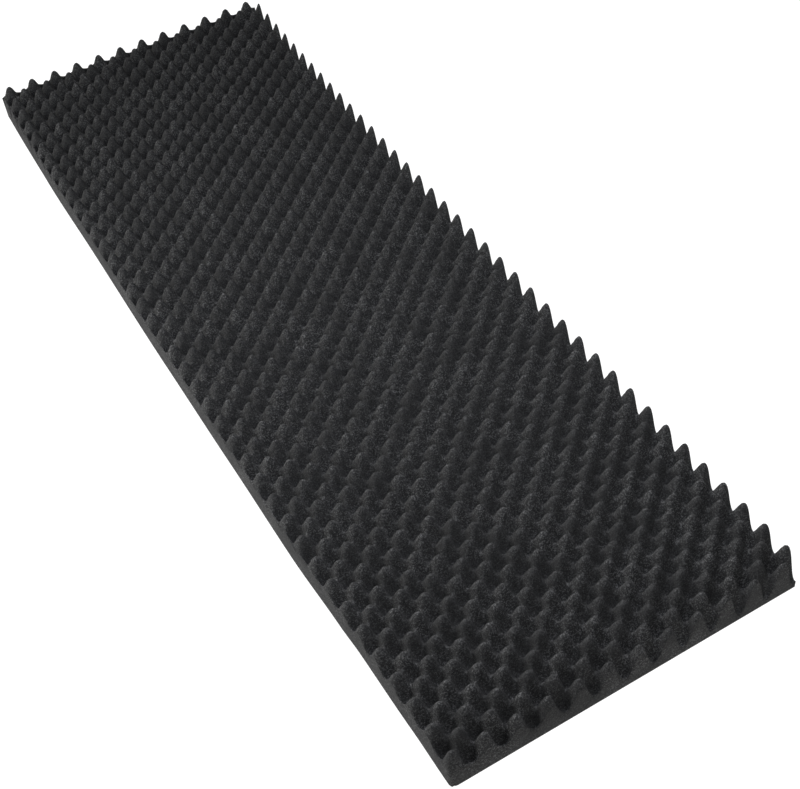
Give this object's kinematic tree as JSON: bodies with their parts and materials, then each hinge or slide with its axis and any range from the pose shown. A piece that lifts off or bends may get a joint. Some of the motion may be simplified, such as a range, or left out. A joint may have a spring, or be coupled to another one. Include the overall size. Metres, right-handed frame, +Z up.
{
  "type": "egg crate foam mattress",
  "caption": "Long narrow slab of convoluted foam, a chequerboard of rounded peaks and pits on top, sawn square at the sides and flat underneath.",
  "frame": {"origin": "middle of the flat underside", "axes": "+Z up through the foam, +Y along the mattress away from the camera, +X across it"},
  "size_m": [0.6232, 1.9082, 0.076],
  "materials": {
    "foam": "charcoal open-cell polyurethane foam, matt and finely speckled"
  },
  "bodies": {
    "root": {"foam_slab": "foam"}
  },
  "joints": []
}
